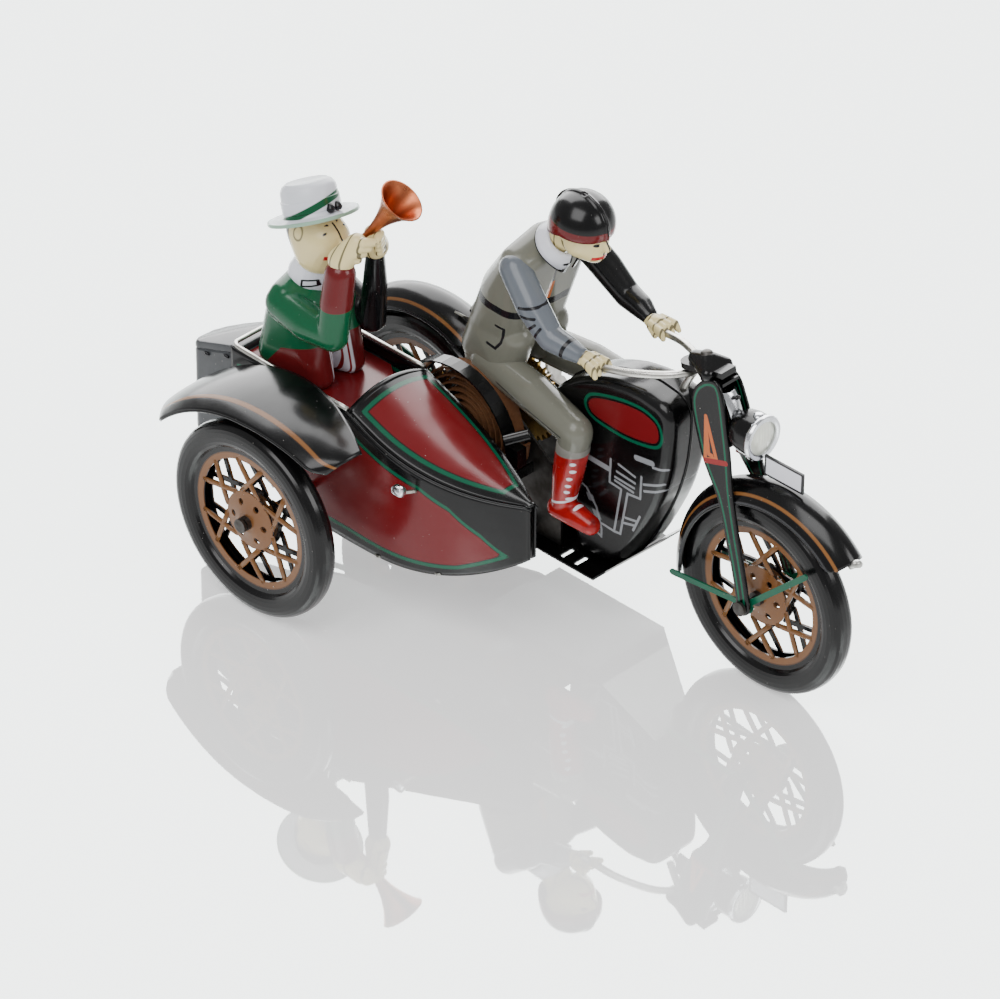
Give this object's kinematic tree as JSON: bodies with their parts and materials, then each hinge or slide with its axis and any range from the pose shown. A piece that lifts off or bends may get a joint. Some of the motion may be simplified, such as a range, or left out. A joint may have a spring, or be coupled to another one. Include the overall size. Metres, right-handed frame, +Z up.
{
  "type": "tin wind-up motorcycle with sidecar",
  "caption": "Lithographed tin wind-up motorcycle and sidecar with a leaning rider, a horn-blowing passenger, pressed spoked wheels and a coil-spring motor on the side.",
  "frame": {"origin": "middle of the toy's box at the level of the ground under its wheels", "axes": "+X forward, +Y to the rider's left (away from the sidecar), +Z up"},
  "size_m": [0.1884, 0.0932, 0.1149],
  "materials": {
    "black_enamel": "gloss black lithographed tinplate",
    "engine_litho": "gloss black tinplate printed with engine lines and a maroon tank panel",
    "maroon_litho": "gloss maroon lithographed tinplate with green border lines",
    "wheel_litho": "gloss black tyre band and tan wheel centre printed on tin",
    "fender_litho": "gloss black tinplate with tan stripes",
    "green_enamel": "gloss green lithographed tinplate",
    "bright_tin": "bare bright tinned sheet and wire",
    "steel": "bare steel of the clockwork",
    "brass": "cut brass gear wheels",
    "spring_steel": "brown tempered spring strip",
    "rider_litho": "grey jacket, olive trousers, red boots and a black helmet, printed on tin",
    "passenger_litho": "green jacket, maroon waistcoat and cuffs, flesh hands and face, printed on tin",
    "hat_litho": "white hat with a green band, printed on tin",
    "horn_copper": "copper-coloured gloss lacquer",
    "lamp_chrome": "polished bright rim",
    "lamp_glass": "pale pearly printed lamp disc",
    "plate_white": "white tin plate with a thin border and no lettering",
    "trunk_enamel": "gloss dark grey lithographed tinplate"
  },
  "bodies": {
    "chassis": {"body_right_half": "engine_litho", "body_left_half": "engine_litho", "head_tube": "black_enamel", "footboard": "black_enamel", "motor_plate_right": "steel", "motor_plate_left": "steel", "motor_pillars": "steel", "mainspring": "spring_steel", "spring_guard": "black_enamel", "spring_post": "steel", "rear_fender": "fender_litho", "rear_stays": "green_enamel", "fender_clips": "bright_tin", "rider_right_half": "rider_litho", "rider_left_half": "rider_litho", "handlebar": "bright_tin", "sidecar_side_right": "maroon_litho", "sidecar_side_left": "maroon_litho", "sidecar_floor": "black_enamel", "sidecar_cowl": "maroon_litho", "cockpit_rim": "bright_tin", "seat_plate": "maroon_litho", "trunk": "trunk_enamel", "sidecar_fender": "fender_litho", "side_lamp": "bright_tin", "sidecar_struts": "black_enamel", "sidecar_axle": "steel", "passenger_right_half": "passenger_litho", "passenger_left_half": "passenger_litho", "hat": "hat_litho", "horn": "horn_copper"},
    "fork": {"fork_blade_right": "black_enamel", "fork_blade_left": "black_enamel", "fork_yokes": "black_enamel", "steering_stem": "steel", "head_cap": "black_enamel", "front_axle": "steel", "front_fender": "fender_litho", "front_stays": "green_enamel", "headlight_shell": "black_enamel", "headlight_rim": "lamp_chrome", "headlight_lens": "lamp_glass", "headlight_bracket": "black_enamel", "number_plate": "plate_white"},
    "front_wheel": {"front_wheel_right_half": "wheel_litho", "front_wheel_left_half": "wheel_litho", "front_wheel_bush": "bright_tin"},
    "rear_wheel": {"rear_wheel_right_half": "wheel_litho", "rear_wheel_left_half": "wheel_litho", "rear_wheel_bush": "bright_tin", "rear_axle": "steel", "axle_pinion": "brass"},
    "sidecar_wheel": {"sidecar_wheel_right_half": "wheel_litho", "sidecar_wheel_left_half": "wheel_litho", "sidecar_wheel_bush": "bright_tin"},
    "great_wheel": {"great_wheel": "brass"},
    "intermediate": {"intermediate_wheel": "brass", "intermediate_pinion": "steel"},
    "winding": {"winding_arbor": "steel", "winding_key": "steel"}
  },
  "joints": [
    {"name": "steering", "type": "hinge", "parent": "chassis", "child": "fork", "pos_m": [0.04535, 0.02607, 0.07371], "axis": [-0.2045, 0, 0.9789], "range_deg": [-12, 12]},
    {"name": "front_wheel_spin", "type": "hinge", "parent": "fork", "child": "front_wheel", "pos_m": [0.06398, 0.02607, 0.027], "axis": [0, 1, 0], "continuous": true},
    {"name": "rear_wheel_spin", "type": "hinge", "parent": "chassis", "child": "rear_wheel", "pos_m": [-0.05482, 0.02607, 0.027], "axis": [0, 1, 0], "continuous": true},
    {"name": "sidecar_wheel_spin", "type": "hinge", "parent": "chassis", "child": "sidecar_wheel", "pos_m": [-0.04834, -0.04117, 0.027], "axis": [0, 1, 0], "continuous": true},
    {"name": "intermediate_turn", "type": "hinge", "parent": "chassis", "child": "intermediate", "pos_m": [-0.03883, 0.03256, 0.03213], "axis": [0, 1, 0], "continuous": true},
    {"name": "great_wheel_turn", "type": "hinge", "parent": "chassis", "child": "great_wheel", "pos_m": [-0.02513, 0.03087, 0.04185], "axis": [0, 1, 0], "continuous": true},
    {"name": "winding", "type": "hinge", "parent": "chassis", "child": "winding", "pos_m": [-0.02513, 0.03907, 0.04185], "axis": [0, 1, 0], "continuous": true}
  ],
  "couplings": [
    {"joint": "intermediate_turn", "follows": "rear_wheel_spin", "ratio": -0.41176},
    {"joint": "great_wheel_turn", "follows": "rear_wheel_spin", "ratio": 0.13725}
  ]
}
